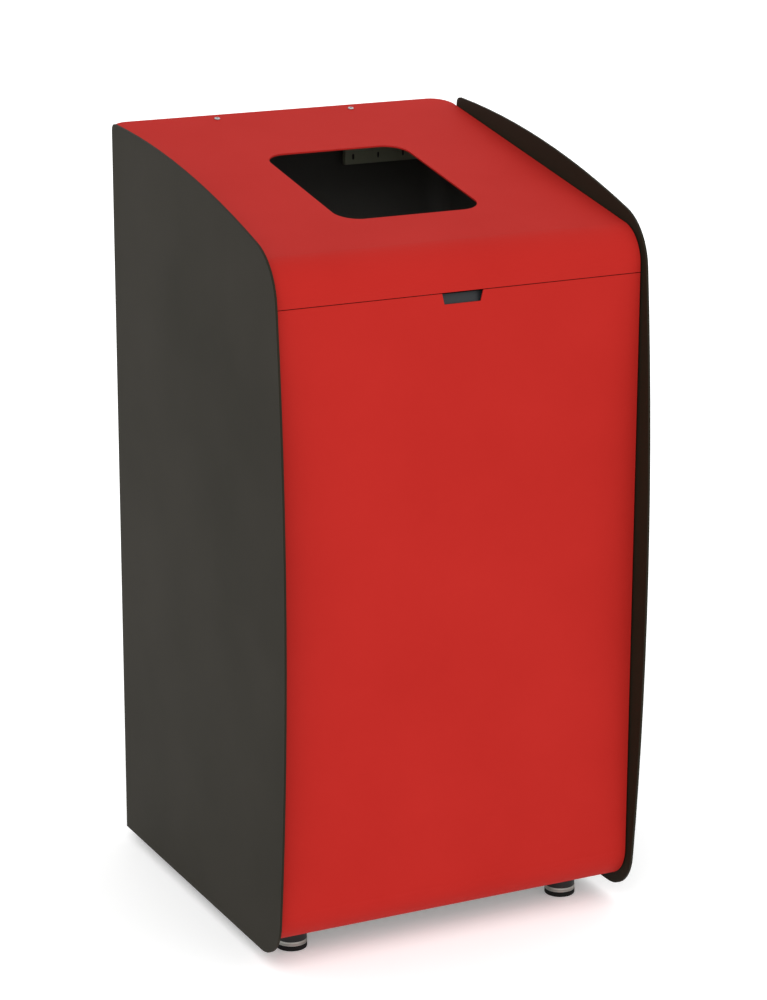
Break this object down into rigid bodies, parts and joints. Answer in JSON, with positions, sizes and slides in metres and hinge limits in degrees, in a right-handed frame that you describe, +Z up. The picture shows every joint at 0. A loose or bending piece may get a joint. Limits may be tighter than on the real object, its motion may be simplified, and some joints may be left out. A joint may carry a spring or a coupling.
{
  "type": "litter bin",
  "caption": "Free-standing litter bin with bowed side panels, sloping hood with a rounded aperture, drop-down front door, sack frame and levelling feet.",
  "frame": {"origin": "on the floor, under the middle of the bin", "axes": "+X to the right seen from the front, -Y out of the door, +Z up"},
  "size_m": [0.5, 0.5547, 0.9843],
  "materials": {
    "panel_coat": "fine-texture powder coat, anthracite",
    "red_coat": "satin powder coat, signal red",
    "carcass_coat": "satin powder coat, black",
    "bracket_coat": "powder coat, olive grey",
    "zinc_steel": "bright zinc plate",
    "black_plastic": "moulded, fine grain",
    "pull_plastic": "moulded, fine grain",
    "white_nylon": "turned nylon",
    "foot_metal": "turned, satin",
    "foot_rubber": "matt"
  },
  "bodies": {
    "carcass": {"back_shell": "carcass_coat", "base_tray": "carcass_coat", "bracket_rivets": "zinc_steel", "door_buffers": "foot_rubber", "door_stops": "carcass_coat", "foot_weld_nuts": "zinc_steel", "frame_hinge_left": "carcass_coat", "frame_hinge_right": "carcass_coat", "frame_rests": "carcass_coat", "header_rail": "carcass_coat", "hinge_pins": "zinc_steel", "hood": "red_coat", "hood_bracket_left": "bracket_coat", "hood_bracket_right": "bracket_coat", "hood_screws": "zinc_steel", "left_side_panel": "panel_coat", "magnet_catches": "black_plastic", "panel_nuts": "zinc_steel", "panel_spacers": "zinc_steel", "panel_studs": "zinc_steel", "right_side_panel": "panel_coat"},
    "door": {"door_skin": "red_coat", "door_side_left": "red_coat", "door_side_right": "red_coat", "hinge_bushes": "white_nylon", "door_stiffener_lower": "carcass_coat", "door_stiffener_upper": "carcass_coat", "magnet_keepers": "zinc_steel", "pull_housing": "black_plastic", "pull_screws": "zinc_steel", "flap_pin": "zinc_steel", "flap_spring": "zinc_steel"},
    "finger_flap": {"finger_flap": "pull_plastic"},
    "sack_frame": {"sack_frame": "zinc_steel", "sack_clips": "black_plastic"},
    "foot_front_left": {"foot_pad_front_left": "foot_rubber", "foot_stem_front_left": "foot_metal", "foot_cap_front_left": "black_plastic"},
    "foot_front_right": {"foot_pad_front_right": "foot_rubber", "foot_stem_front_right": "foot_metal", "foot_cap_front_right": "black_plastic"},
    "foot_rear_left": {"foot_pad_rear_left": "foot_rubber", "foot_stem_rear_left": "foot_metal", "foot_cap_rear_left": "black_plastic"},
    "foot_rear_right": {"foot_pad_rear_right": "foot_rubber", "foot_stem_rear_right": "foot_metal", "foot_cap_rear_right": "black_plastic"}
  },
  "joints": [
    {"name": "door_hinge", "type": "hinge", "parent": "carcass", "child": "door", "pos_m": [0, -0.20085, 0.0797], "axis": [1, 0, 0], "range_deg": [0, 85]},
    {"name": "finger_flap_hinge", "type": "hinge", "parent": "door", "child": "finger_flap", "pos_m": [0, -0.24115, 0.819], "axis": [-1, 0, 0], "range_deg": [0, 15], "stiffness_Nm_per_rad": 0.05, "springref_deg": -5.73},
    {"name": "sack_frame_hinge", "type": "hinge", "parent": "carcass", "child": "sack_frame", "pos_m": [0, 0.258, 0.77], "axis": [-1, 0, 0], "range_deg": [0, 16]},
    {"name": "foot_front_left_screw", "type": "slide", "parent": "carcass", "child": "foot_front_left", "axis": [0, 0, -1], "range_m": [0, 0.008]},
    {"name": "foot_front_right_screw", "type": "slide", "parent": "carcass", "child": "foot_front_right", "axis": [0, 0, -1], "range_m": [0, 0.008]},
    {"name": "foot_rear_left_screw", "type": "slide", "parent": "carcass", "child": "foot_rear_left", "axis": [0, 0, -1], "range_m": [0, 0.008]},
    {"name": "foot_rear_right_screw", "type": "slide", "parent": "carcass", "child": "foot_rear_right", "axis": [0, 0, -1], "range_m": [0, 0.008]}
  ]
}
